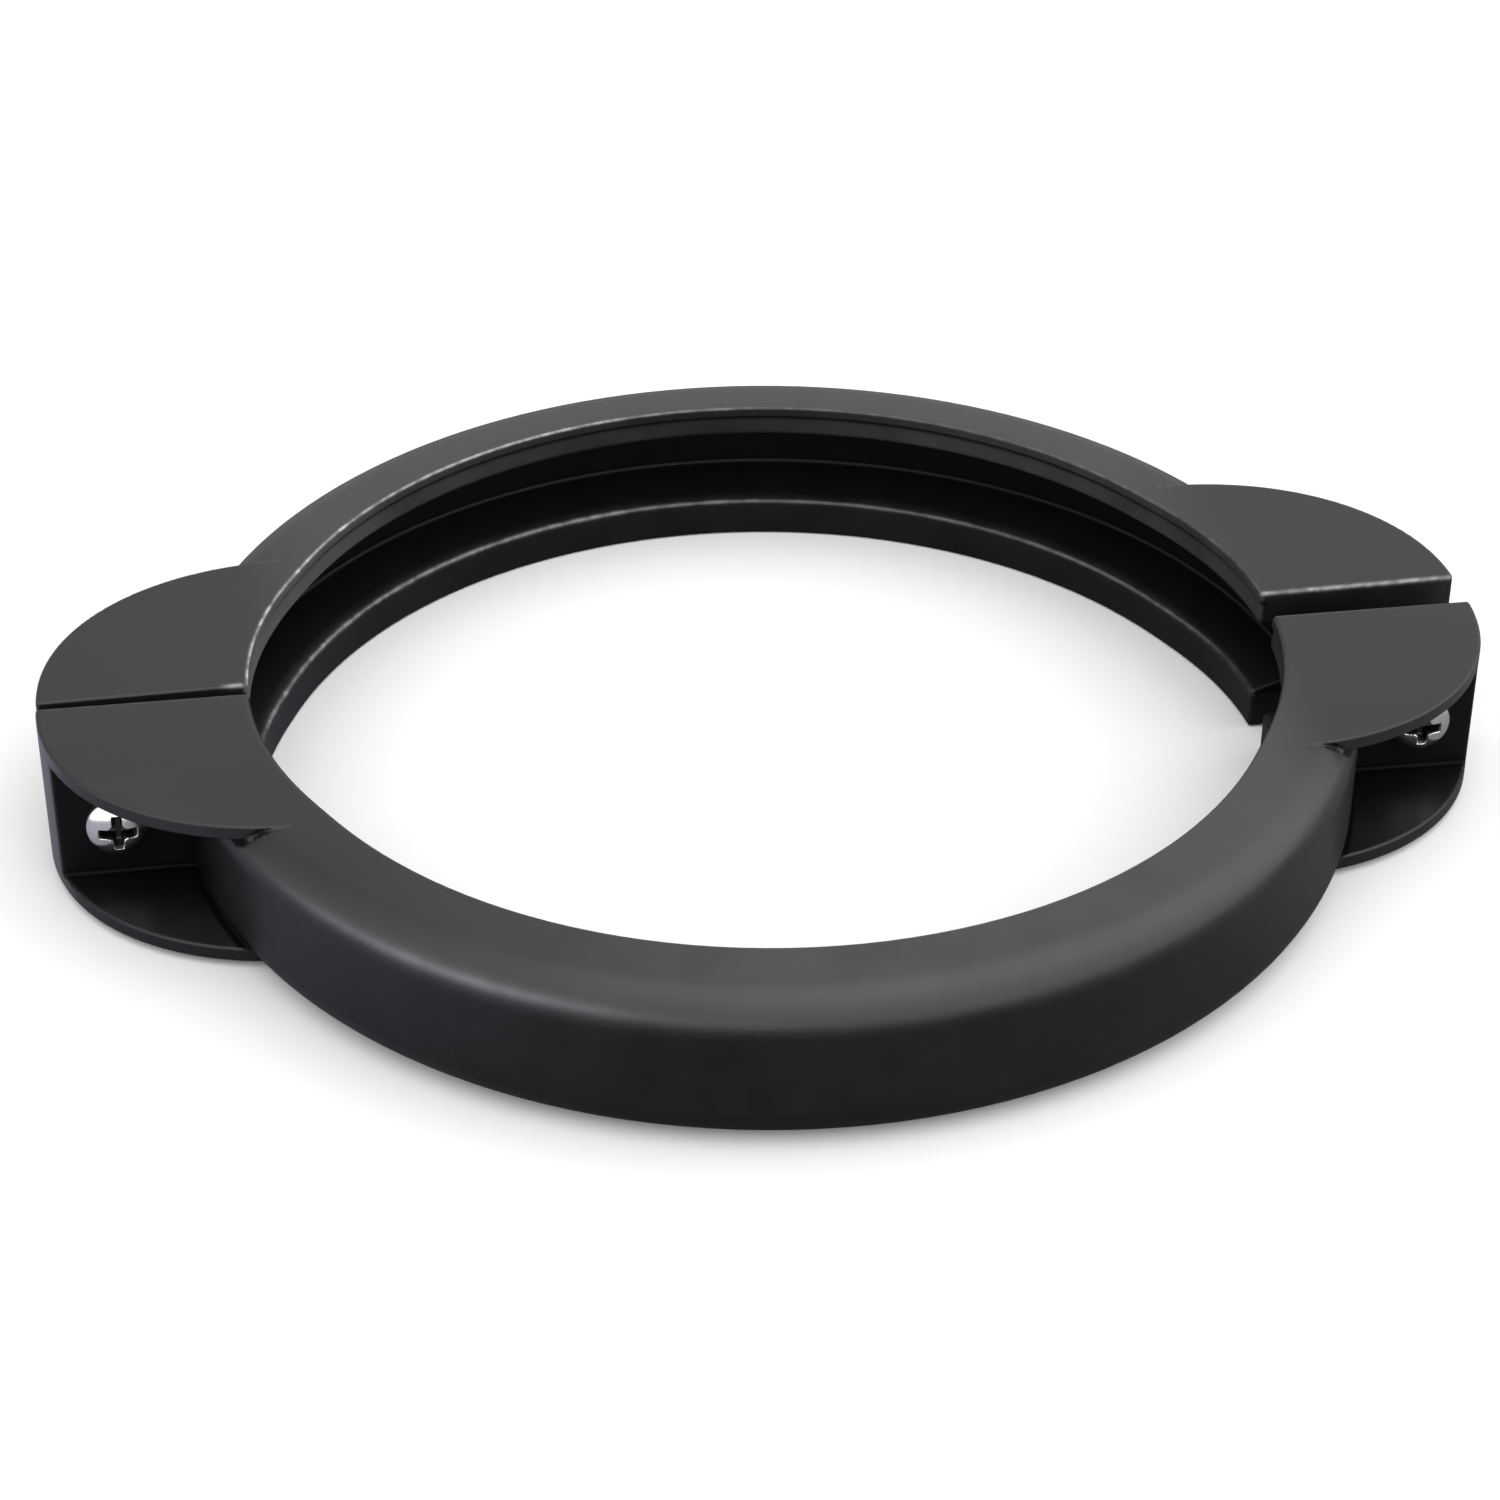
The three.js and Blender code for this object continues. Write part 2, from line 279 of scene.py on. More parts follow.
def hex_nut(x, y, z):
    """A nut with chamfered corners. Its bearing face is at z 0."""
    flat = NUT_FLATS / 2
    corner = flat / COS30
    radius = np.hypot(x, y)
    sideways = np.abs(y) * 0.5 + np.abs(x) * COS30
    hexagon = both(np.abs(y) - flat, sideways - flat, 0.35)
    end = np.abs(z - NUT_THICKNESS / 2) - NUT_THICKNESS / 2
    cone = (radius - corner + NUT_CHAMFER) * 0.5 + end * COS30
    body = both(both(hexagon, end, 0.15), cone, 0.15)
    phase = z / PITCH - np.arctan2(y, x) / (2 * math.pi)
    ridge = NUT_RIDGE * np.cos(2 * math.pi * phase)
    entry = np.maximum(end + NUT_ENTRY, 0)
    return without(body, radius - NUT_BORE - ridge - 0.8 * entry, 0.1)


# ---------------------------------------------------------------- meshing


def slopes(distance, points, step=1e-3):
    """The gradient of a distance function at each point."""
    out = np.empty_like(points)
    for axis in range(3):
        shift = np.zeros(3)
        shift[axis] = step
        ahead = distance(*(points + shift).T)
        behind = distance(*(points - shift).T)
        out[:, axis] = (ahead - behind) / (2 * step)
    return out


def surface(distance, levels, place=lambda *at: at):
    """Meshes a distance function's zero surface: one vertex for each grid cell that it crosses.

    levels holds the grid's coordinates along each axis, and place turns them into x, y and z.
    Returns the points, their unit normals and the quads."""
    field = distance(*place(*np.meshgrid(*levels, indexing="ij")))
    cells = np.array(field.shape) - 1
    total = np.zeros((*cells, 3))
    count = np.zeros(cells)
    crossings = []
    for axis in range(3):
        low = field.take(range(cells[axis]), axis)
        high = field.take(range(1, cells[axis] + 1), axis)
        edge = np.argwhere((low < 0) != (high < 0))
        others = [(axis + 1) % 3, (axis + 2) % 3]
        inner = np.all((edge[:, others] > 0) & (edge[:, others] < cells[others]), axis=1)
        edge = edge[inner]
        at = tuple(edge.T)
        point = edge.astype(float)
        point[:, axis] += low[at] / (low[at] - high[at])
        ring = []
        for b, c in ((1, 1), (0, 1), (0, 0), (1, 0)):
            cell = edge.copy()
            cell[:, others[0]] -= b
            cell[:, others[1]] -= c
            ring.append(cell)
            np.add.at(total, tuple(cell.T), point)
            np.add.at(count, tuple(cell.T), 1)
        crossings.append((ring, low[at] < 0))
    active = count > 0
    number = np.full(count.shape, -1)
    number[active] = np.arange(active.sum())
    spots = total[active] / count[active][:, None]
    spots = [np.interp(spots[:, k], np.arange(len(levels[k])), levels[k]) for k in range(3)]
    points = np.array(place(*spots)).T
    for _ in range(NEWTON_STEPS):
        slope = slopes(distance, points)
        steepness = np.maximum((slope**2).sum(1), 0.05)
        move = np.clip(distance(*points.T) / steepness, -NEWTON_LIMIT, NEWTON_LIMIT)
        points = points - slope * move[:, None]
    normals = slopes(distance, points)
    normals /= np.maximum(np.linalg.norm(normals, axis=1), 1e-9)[:, None]
    quads = []
    for ring, outward in crossings:
        quad = np.stack([number[tuple(cell.T)] for cell in ring], axis=1)
        quad[~outward] = quad[~outward][:, ::-1]
        quads.append(quad)
    return points, normals, np.concatenate(quads)


def steps(*stops):
    """Grid coordinates from a list of (end, spacing) stretches, the first being the start."""
    values = [stops[0]]
    for end, spacing in stops[1:]:
        count = max(1, round((end - values[-1]) / spacing))
        values += list(np.linspace(values[-1], end, count + 1)[1:])
    return np.array(values)


def new_object(name, points, faces, normals=None):
    mesh = bpy.data.meshes.new(name)
    if isinstance(faces, np.ndarray):
        faces = faces.tolist()
    mesh.from_pydata((points * MM).tolist(), [], faces)
    mesh.polygons.foreach_set("use_smooth", [True] * len(mesh.polygons))
    if normals is not None:
        mesh.normals_split_custom_set_from_vertices(normals.tolist())
    made = bpy.data.objects.new(name, mesh)
    bpy.context.scene.collection.objects.link(made)
    return made


def turned(points, angle):
    """Points turned about the vertical axis."""
    c, s = math.cos(angle), math.sin(angle)
    return points @ np.array([[c, s, 0], [-s, c, 0], [0, 0, 1]])


# ---------------------------------------------------------------- the moulded halves


def around(radius, degrees, z):
    """Grid coordinates round the ring, squeezed so that 0 and -180 degrees lie on the split face."""
    from_middle = np.radians(degrees + 90)
    squeeze = 1 - np.arcsin(SETBACK / radius) / (math.pi / 2)
    angle = from_middle * squeeze - math.pi / 2
    return radius * np.cos(angle), radius * np.sin(angle), z


def half_levels():
    """Fine levels where the ears and edges are, and long ones along the plain ring."""
    radii = steps(TOP_LIP - 0.5, (TOP_LIP + 4.0, 0.32), (ROOT - 2, 0.9), (ROOT + 0.6, 0.45),
                  (OUTER + 0.7, 0.55), (TIP_X + 0.7, 0.66))
    low = steps(-0.3, (2.1, 0.28), (EAR_LIFT + PLATE + 1.5, 0.38), (LIP_BOTTOM[0] - 0.9, 0.8),
                (LIP_BOTTOM[0] + 0.8, 0.3), (MIDDLE, 0.6))
    high = steps(-0.3, (1.2, 0.25), (PLATE + 1.5, 0.36), (LIP_TOP[0] - 0.6, 0.6),
                 (LIP_TOP[0] + 0.8, 0.3), (MIDDLE, 0.6))
    heights = np.concatenate([low, (2 * MIDDLE - high[::-1])[1:]])
    near = steps(-90, (-37, 2.5), (-26, 0.55), (-1.2, 0.32), (0.3, 0.16))
    angles = np.concatenate([-180 - near[::-1], near[1:]])
    return radii, angles, heights


def paint(made, name, values):
    """Stores a value for each vertex, for the materials to read."""
    layer = made.data.attributes.new(name, "FLOAT", "POINT")
    layer.data.foreach_set("value", np.asarray(values, dtype=np.float32))


def on_upper_lip(points, normals):
    """Whether each vertex is on the upper lip's edge or inner face."""
    x, y, z = points.T
    return (normals[:, 2] < 0.4) * (np.hypot(x, y) < TOP_LIP + LIP_BAND) * (z > HEIGHT - LIP_TOP[0])


def painted_crevice_shade(distance, points, normals):
    """How deep each vertex is in an inside corner, the groove, a pocket or the line below the bead, as
    painted shade that darkens these places.
    """
    x, y, z = points.T
    side, radius = np.abs(x), np.hypot(x, y)
    ahead = distance(*(points + CAVITY_REACH * normals).T)
    corner = smooth_step(1 - ahead / CAVITY_REACH, 0.03, 0.14)
    below_lip = smooth_step(HEIGHT - LIP_TOP[0] - z, -0.2, 0.8)
    in_groove = below_lip * smooth_step(radius, BOTTOM_LIP + 0.8, BOTTOM_LIP + 3)
    in_groove = in_groove * smooth_step(ROOT + 1 - radius, 0, 0.5) * (z > LIP_BOTTOM[0])
    from_block = -SETBACK - BLOCK - y
    in_pocket = (side > EAR_CURVE_X) & (from_block > -1) & (radius > OUTER - 0.2)
    in_pocket = in_pocket & (z > EAR_LIFT + PLATE - 0.3) & (z < HEIGHT - PLATE + 0.3)
    depth = 1 - 0.55 * smooth_step(from_block, 1, 22)
    depth = depth * (1 - smooth_step(from_block, 12, EAR_REACH - 4))
    line = np.exp(-(((HEIGHT - BEAD_HEIGHT - 0.25 - z) / 0.5) ** 2)) * (radius < TOP_LIP + 4)
    return np.maximum.reduce([corner, 0.8 * in_groove, 0.85 * in_pocket * depth, line])


def dust_and_light_on_faces(points, normals, seats):
    """How pale each vertex is made, partly dust and partly painted light: the ring's upper face most,
    then the pocket floors and the lip, brighter towards one side.
    """
    x, y, z = points.T
    side, radius = np.abs(x), np.hypot(x, y)
    on_ring = (1 - smooth_step(side, 84, 106)) * (z > MIDDLE)
    upward = smooth_step(normals[:, 2], 0.5, 0.95)
    from_block = -SETBACK - BLOCK - y
    pocket_floor = smooth_step(from_block, 2, 24) * (z < MIDDLE) * (radius > OUTER)
    pocket_floor = pocket_floor * np.where(x < 0, 0.6, 0.2)
    value = upward * (on_ring * (0.75 if seats else smooth_step(x, -95, 0)) + pocket_floor)
    if seats:
        value = np.maximum(value, 0.9 * on_upper_lip(points, normals) * smooth_step(x, -10, 90))
    return value


def painted_edge_highlights(points, seats):
    """Painted highlights along each vertex's edges, from 0 to 1: bright lines on the lips' inner edges
    and on the split edges.

    The half with the nuts shows it most. Its +X end is the one that the camera sees on the left."""
    x, y, z = points.T
    radius = np.hypot(x, y)
    from_top_edge = radius - bore_radius(x, y, HEIGHT + 0 * z) - 0.15
    from_low_edge = radius - bore_radius(x, y, 0 * z) - 0.2
    top_line = np.exp(-(from_top_edge**2 + (z - HEIGHT + 0.15) ** 2) / 0.3**2)
    low_line = np.exp(-(from_low_edge**2 + (z - LIP_BOTTOM[0]) ** 2) / 0.5**2)
    split_line = np.exp(-((y + SETBACK + 0.2) ** 2 + (z - HEIGHT + 0.2) ** 2) / 0.5**2)
    uneven = 0.7 + 0.3 * np.sin(x / 3.7 + y / 5 + 1.3) * np.sin(x / 1.1 + y / 1.7)
    if seats:
        on_left = smooth_step(x, -30, 60)
        right_ear = smooth_step(-x, 98, 106)
        left_glint = smooth_step(x, 102.8, 103.6) * (1 - smooth_step(x, 106.5, 108))
        value = top_line * (0.12 + 0.88 * on_left) + 0.35 * low_line * (0.4 + 1.1 * on_left)
        value = np.maximum(value, split_line * np.maximum(0.6 * right_ear, 0.6 * left_glint))
    else:
        value = 0.06 * top_line + 0.12 * split_line
    return np.clip(value * uneven, 0, 1)


def sheen_and_light_on_faces(points, normals, seats):
    """Painted sheen and light on each vertex: the left ear's tip, the shoulder and the upper lip.

    The half with the nuts is turned by half a turn when it is placed, so what the camera sees on the
    left is at +X on that half, and at -X on the other one."""
    x, y, z = points.T
    radius = np.hypot(x, y)
    left = 1 if seats else -1
    by_block = smooth_step(y, -SETBACK - BLOCK - 9, -SETBACK - BLOCK + 5) * (left * x > TIP_X - 5)
    tip = SHEEN_TIP * by_block * smooth_step(left * normals[:, 0], 0.55, 0.95)
    if seats:
        lip = 0.13 * smooth_step(x, 62, 100) + 0.05 * smooth_step(-x, 10, 70)
        return np.maximum(on_upper_lip(points, normals) * lip, tip)
    inside = OUTER - SHOULDER
    tilt = np.degrees(np.arctan2(radius - inside, z - (HEIGHT - SHOULDER))) - SHEEN_TILT
    bearing = np.degrees(np.arctan2(y, x)) - SHEEN_BEARING
    band = 0.2 * np.exp(-((tilt / 7) ** 2)) + 0.07 * np.exp(-((tilt / 16) ** 2))
    return np.maximum(band * np.exp(-((bearing / 16) ** 2)) * (z > MIDDLE), tip)


def moulded_half(name, seats, angle):
    def distance(x, y, z):
        return half_ring(x, y, z, seats)

    points, normals, quads = surface(distance, half_levels(), around)
    made = new_object(name, turned(points, angle), quads, turned(normals, angle))
    # painted highlights: bright lines along the lips' inner edges and the split edges
    paint(made, "edge_highlight", painted_edge_highlights(points, seats))
    # painted shade in inside corners, the groove, the pockets and the line below the bead
    paint(made, "crevice_shade", painted_crevice_shade(distance, points, normals))
    # dust and painted light: paler upward faces and upper lip, more towards one side
    paint(made, "dust_and_painted_light", dust_and_light_on_faces(points, normals, seats))
    # painted sheen on the shoulder, and painted light on the left ear's tip and the upper lip
    paint(made, "painted_sheen_and_light", sheen_and_light_on_faces(points, normals, seats))
    return made


# ---------------------------------------------------------------- turned, swept and cut pieces


def lathe(profile, segments=64, wobble=None):
    """Turns a profile of (radius, height) pairs, whose ends lie on the axis, about the axis."""
    points = [(0, 0, profile[0][1])]
    for radius, height in profile[1:-1]:
        for i in range(segments):
            angle = 2 * math.pi * i / segments
            size = radius * (wobble(angle, height) if wobble else 1)
            points.append((size * math.cos(angle), size * math.sin(angle), height))
    points.append((0, 0, profile[-1][1]))
    faces = []
    rows = len(profile) - 2
    last = len(points) - 1
    for i in range(segments):
        j = (i + 1) % segments
        faces.append((0, 1 + j, 1 + i))
        for row in range(rows - 1):
            a = 1 + row * segments
            b = a + segments
            faces.append((a + i, a + j, b + j, b + i))
        end = 1 + (rows - 1) * segments
        faces.append((last, end + i, end + j))
    return np.array(points), faces


def arc(centre, radius, start, end, count):
    """Points on a circular arc in a profile, with angles in degrees."""
    angles = np.radians(np.linspace(start, end, count))
    return [(centre[0] + radius * math.cos(a), centre[1] + radius * math.sin(a)) for a in angles]


def thread_rod(start, end, columns=48):
    """A right-hand thread profile swept along a helix, closed at both ends."""
    root = THREAD - THREAD_DEPTH
    flank = 5 / 16 * PITCH
    profile = [(0, root), (flank / 2, root + THREAD_DEPTH / 2), (flank, THREAD),
               (flank + PITCH / 8, THREAD), (1.5 * flank + PITCH / 8, root + THREAD_DEPTH / 2),
               (2 * flank + PITCH / 8, root)]
    per_turn = len(profile)
    turns = math.ceil((end - start) / PITCH)
    rows = [(start + turn * PITCH + rise, radius)
            for turn in range(turns) for rise, radius in profile]
    points = []
    for height, radius in rows:
        for column in range(columns):
            angle = 2 * math.pi * column / columns
            lift = PITCH * column / columns
            points.append((radius * math.cos(angle), radius * math.sin(angle), height + lift))

    def at(row, column):
        if column == columns:
            return (row + per_turn) * columns
        return row * columns + column

    top = len(rows) - 1 - per_turn
    faces = [(at(row, c), at(row, c + 1), at(row + 1, c + 1), at(row + 1, c))
             for row in range(top) for c in range(columns)]
    low_loop = [at(0, c) for c in range(columns)] + [at(row, 0) for row in range(per_turn, 0, -1)]
    high_loop = [at(top, c) for c in range(columns)]
    high_loop += [at(row, 0) for row in range(top + per_turn, top, -1)]
    used = at(top + per_turn, 0) + 1
    points = points[:used]
    for loop, reverse in ((low_loop, True), (high_loop, False)):
        height = sum(points[i][2] for i in loop) / len(loop)
        hub = len(points)
        points.append((0, 0, height))
        for a, b in zip(loop, loop[1:] + loop[:1]):
            faces.append((hub, b, a) if reverse else (hub, a, b))
    return np.array(points), faces


def combine(base, tool, operation):
    """Joins or cuts two closed meshes. The tool is used up."""
    modifier = base.modifiers.new("combine", "BOOLEAN")
    modifier.object = tool
    modifier.operation = operation
    modifier.solver = "EXACT"
    depsgraph = bpy.context.evaluated_depsgraph_get()
    mesh = bpy.data.meshes.new_from_object(base.evaluated_get(depsgraph))
    base.modifiers.clear()
    base.data = mesh
    bpy.data.objects.remove(tool)


def close_slivers(made):
    """Merges vertices that nearly coincide, which removes the slivers that a boolean leaves."""
    work = bmesh.new()
    work.from_mesh(made.data)
    bmesh.ops.triangulate(work, faces=work.faces)
    bmesh.ops.remove_doubles(work, verts=work.verts, dist=SLIVER * MM)
    bmesh.ops.dissolve_degenerate(work, edges=work.edges, dist=SLIVER * MM)
    work.to_mesh(made.data)
    work.free()


def smooth_by_angle(made, degrees):
    made.data.polygons.foreach_set("use_smooth", [True] * len(made.data.polygons))
    made.data.set_sharp_from_angle(angle=math.radians(degrees))


def painted_screw_shade(points):
    """Painted shade in the cross recess and at the thread's root."""
    x, y, z = points.T
    radius = np.hypot(x, y)
    crown = HEAD_HEIGHT - HEAD_RIM
    dome = -HEAD_RIM - crown * np.sqrt(np.clip(1 - (radius / HEAD_RADIUS) ** 2, 0, 1))
    recess = smooth_step(z - dome, 0.15, 0.9) * (radius < 0.75 * HEAD_RADIUS) * (z < -0.5)
    thread = (1 - smooth_step(radius, THREAD - THREAD_DEPTH, THREAD)) * (z > 0)
    return np.maximum(recess, 0.8 * thread)


def screw_piece(name):
    """A fully threaded pan-head screw, bearing face at z 0 and tip towards +Z."""
    length = SCREW_TOTAL - HEAD_HEIGHT
    reach = HEAD_RADIUS + 0.4
    levels = (steps(-reach, (reach, 0.17)), steps(-reach, (reach, 0.17)),
              steps(-HEAD_HEIGHT - 0.3, (0.4, 0.17)))
    points, _, quads = surface(screw_head, levels)
    head = new_object(name, points, quads)
    rod = new_object("rod", *thread_rod(-3 * PITCH, length + 3 * PITCH))
    into_head = -0.9
    profile = [(0, into_head), (THREAD + 1, into_head), (THREAD + 1, length - TIP_CHAMFER - 1),
               (THREAD - TIP_CHAMFER, length), (0, length)]
    combine(rod, new_object("envelope", *lathe(profile)), "INTERSECT")
    combine(head, rod, "UNION")
    close_slivers(head)
    smooth_by_angle(head, SHARP_ANGLE)
    points = np.array([vertex.co for vertex in head.data.vertices]) / MM
    # painted shade in the cross recess and at the thread's root
    paint(head, "crevice_shade", painted_screw_shade(points))
    return head


def nut_piece(name):
    reach = NUT_FLATS / 2 / COS30 + 0.4
    levels = (steps(-reach, (reach, 0.2)), steps(-reach, (reach, 0.2)),
              steps(-0.3, (NUT_THICKNESS + 0.3, 0.18)))
    points, normals, quads = surface(hex_nut, levels)
    made = new_object(name, points, quads, normals)
    radius = np.hypot(points[:, 0], points[:, 1])
    # painted shade inside the nut's bore
    paint(made, "crevice_shade", 0.8 * (1 - smooth_step(radius, 3.3, 3.7)))
    return made


def cap_piece(name):
    """A dipped vinyl cap: a round closed end with a small nib, and a soft rim at its mouth."""
    body = CAP_RIM - CAP_WALL_STEP
    end = CAP_LENGTH - CAP_NIB
    bore, depth = CAP_BORE, CAP_DEPTH
    profile = [(0, depth), (bore - 1.6, depth)]
    profile += arc((bore - 1.2, depth - 1.2), 1.2, 80, 0, 6)
    profile += [(bore, 10), (bore, 5), (bore, 0.7)]
    profile += arc((bore + 0.35, 0.35), 0.35, 180, 270, 5)
    profile += arc((CAP_RIM - 0.5, 0.5), 0.5, -90, 0, 6)
    profile += [(CAP_RIM, 0.9), (CAP_RIM - 0.05, 1.3), (body + 0.04, 1.9), (body, 2.6)]
    profile += [(body - 0.06, height) for height in np.linspace(4, end - 3.6, 7)]
    profile += arc((body - 2.4, end - 2.4), 2.4, 0, 82, 12)
    profile += [(1.25, end - 0.02), (1.0, end + 0.08)]
    profile += arc((0.45, end + 0.15), 0.45, 10, 88, 6)
    profile += [(0, CAP_LENGTH)]

    def wobble(angle, height):
        return 1 - CAP_UNEVEN * (1 + math.sin(2 * angle + height / 4)) * min(1, height / 3)

    return new_object(name, *lathe(profile, wobble=wobble))


# ---------------------------------------------------------------- materials


CHARCOAL = (0.0040, 0.0041, 0.0048)
CHARCOAL_PALE = (0.0062, 0.0063, 0.0070)
FLOW_MARK = (0.0085, 0.0088, 0.011)
# the pale tone of dust and painted light on upward faces and the upper lip
DUST_AND_LIGHT_TONE = (0.030, 0.030, 0.031)
# the pale tone of the painted edge highlights
EDGE_HIGHLIGHT_TONE = (0.42, 0.42, 0.425)
# the bluish tone of the painted sheen and light
SHEEN_TONE = (0.40, 0.40, 0.44)
# the tone of the painted shade in crevices, the groove and the pockets
CREVICE_SHADE_TONE = (0.003, 0.003, 0.0034)
NICKEL = (0.86, 0.85, 0.82)
NICKEL_DULL = (0.70, 0.685, 0.655)
# the tone of the painted shade in the screws' recesses, threads and the nuts' bores
SCREW_SHADE_TONE = (0.05, 0.047, 0.042)
VINYL = (0.006, 0.006, 0.007)
VINYL_DUST = (0.018, 0.018, 0.02)
NOISE_ROUGHNESS = 0.55


class Nodes:
    """A short way to write the node tree of a material or of the world."""

    def __init__(self, owner, shader="Principled BSDF", coordinates="Object"):
        owner.use_nodes = True
        self.owner = owner
        self.tree = owner.node_tree
        self.shader = self.tree.nodes[shader]
        self.place = self.add("ShaderNodeTexCoord").outputs[coordinates]

    def add(self, kind, **settings):
        node = self.tree.nodes.new(kind)
        for key, value in settings.items():
            setattr(node, key, value)
        return node

    def fill(self, socket, value):
        """Gives an input another node's output, a colour or a number."""
        if hasattr(value, "links"):
            self.tree.links.new(value, socket)
        elif isinstance(value, tuple):
            socket.default_value = (*value, 1)
        else:
            socket.default_value = value

    def set(self, **values):
        for key, value in values.items():
            self.fill(self.shader.inputs[key.replace("_", " ")], value)

    def along(self, axis):
        """The place's coordinate along one axis."""
        node = self.add("ShaderNodeSeparateXYZ")
        self.fill(node.inputs["Vector"], self.place)
        return node.outputs[axis]

    def noise(self, size, detail, stretch=(1, 1, 1)):
        """Noise whose features are about size metres across."""
        mapping = self.add("ShaderNodeMapping")
        mapping.inputs["Scale"].default_value = [s / size for s in stretch]
        self.fill(mapping.inputs["Vector"], self.place)
        noise = self.add("ShaderNodeTexNoise")
        self.fill(noise.inputs["Scale"], 1.0)
        self.fill(noise.inputs["Detail"], detail)
        self.fill(noise.inputs["Roughness"], NOISE_ROUGHNESS)
        self.fill(noise.inputs["Vector"], mapping.outputs["Vector"])
        return noise.outputs["Fac"]

    def remap(self, value, low, high, to_low, to_high, kind="LINEAR"):
        node = self.add("ShaderNodeMapRange", interpolation_type=kind)
        limits = {"From Min": low, "From Max": high, "To Min": to_low, "To Max": to_high}
        for key, number in limits.items():
            self.fill(node.inputs[key], number)
        self.fill(node.inputs["Value"], value)
        return node.outputs["Result"]

    def attribute(self, name):
        return self.add("ShaderNodeAttribute", attribute_name=name).outputs["Fac"]

    def maths(self, kind, a, b):
        node = self.add("ShaderNodeMath", operation=kind)
        self.fill(node.inputs[0], a)
        self.fill(node.inputs[1], b)
        return node.outputs["Value"]

    def mix(self, factor, a, b):
        """Mixes two colours, each a tuple or a socket."""
        node = self.add("ShaderNodeMixRGB")
        self.fill(node.inputs["Fac"], factor)
        self.fill(node.inputs["Color1"], a)
        self.fill(node.inputs["Color2"], b)
        return node.outputs["Color"]

    def bump(self, height, distance, strength, under=None):
        node = self.add("ShaderNodeBump")
        self.fill(node.inputs["Distance"], distance)
        self.fill(node.inputs["Strength"], strength)
        self.fill(node.inputs["Height"], height)
        if under is not None:
            self.fill(node.inputs["Normal"], under)
        return node.outputs["Normal"]


def moulded_plastic():
    """Satin charcoal plastic: a fine grain, faint flow marks, and the painted highlights, sheen, light,
    shade and dust on the halves.
    """
    m = Nodes(bpy.data.materials.new("moulded_plastic"))
    broad = m.noise(0.045, detail=2)
    patches = m.noise(0.012, detail=4)
    tone = m.mix(m.remap(broad, 0.35, 0.65, 0, 1), CHARCOAL, CHARCOAL_PALE)
    tone = m.mix(m.remap(patches, 0.4, 0.7, 0, 0.4), tone, FLOW_MARK)
    mottle = m.remap(patches, 0.3, 0.7, 0.75, 1.1)
    # dust and painted light on upward faces and the upper lip, mottled
    tone = m.mix(m.maths("MULTIPLY", m.attribute("dust_and_painted_light"), mottle), tone, DUST_AND_LIGHT_TONE)
    # painted highlights on the edges, broken into dots by noise
    highlight_breakup = m.remap(m.noise(0.003, detail=3), 0.38, 0.62, 0.45, 1.35)
    tone = m.mix(m.maths("MULTIPLY", m.attribute("edge_highlight"), highlight_breakup), tone, EDGE_HIGHLIGHT_TONE)
    # painted sheen and light, made uneven by noise
    painted_sheen_and_light = m.maths("MULTIPLY", m.attribute("painted_sheen_and_light"), m.remap(patches, 0.35, 0.65, 0.8, 1.15))
    tone = m.mix(painted_sheen_and_light, tone, SHEEN_TONE)
    # painted shade: darker and less glossy in crevices, the groove and the pockets
    crevice_shade = m.attribute("crevice_shade")
    tone = m.mix(crevice_shade, tone, CREVICE_SHADE_TONE)
    shine = m.remap(crevice_shade, 0, 1, 0.5, 0.05)
    rough = m.remap(patches, 0.3, 0.7, 0.33, 0.41)
    normal = m.bump(m.noise(0.02, detail=1), 0.0006, 0.12)
    normal = m.bump(m.noise(0.0009, detail=2), 0.00005, 0.4, normal)
    m.set(Base_Color=tone, Roughness=rough, Specular_IOR_Level=shine, Normal=normal)
    return m.owner


def bright_steel():
    """Bright nickel over steel, with faint turning marks, dull patches and painted shade in the cross
    recess and the thread.
    """
    m = Nodes(bpy.data.materials.new("bright_steel"))
    patches = m.noise(0.003, detail=4)
    turning_marks = m.noise(0.0004, detail=2, stretch=(1, 0.2, 1))
    tone = m.mix(m.remap(patches, 0.35, 0.7, 0, 1), NICKEL, NICKEL_DULL)
    crevice_shade = m.attribute("crevice_shade")
    # painted shade: darker and rougher in the recess, the thread and the nut's bore
    tone = m.mix(crevice_shade, tone, SCREW_SHADE_TONE)
    rough = m.maths("ADD", m.remap(patches, 0.3, 0.75, 0.11, 0.24), m.remap(crevice_shade, 0, 1, 0, 0.25))
    normal = m.bump(turning_marks, 0.00002, 0.35)
    m.set(Base_Color=tone, Metallic=1.0, Roughness=rough, Normal=normal)
    return m.owner


def vinyl():
    """Soft glossy black vinyl with a slightly uneven dipped skin."""
    m = Nodes(bpy.data.materials.new("vinyl"))
    skin = m.noise(0.004, detail=2)
    dust_and_painted_light = m.noise(0.0006, detail=4)
    tone = m.mix(m.remap(dust_and_painted_light, 0.5, 0.8, 0, 0.5), VINYL, VINYL_DUST)
    rough = m.remap(dust_and_painted_light, 0.35, 0.75, 0.16, 0.30)
    m.set(Base_Color=tone, Roughness=rough, Normal=m.bump(skin, 0.0003, 0.25))
    m.set(Coat_Weight=0.3, Coat_Roughness=0.08)
    return m.owner


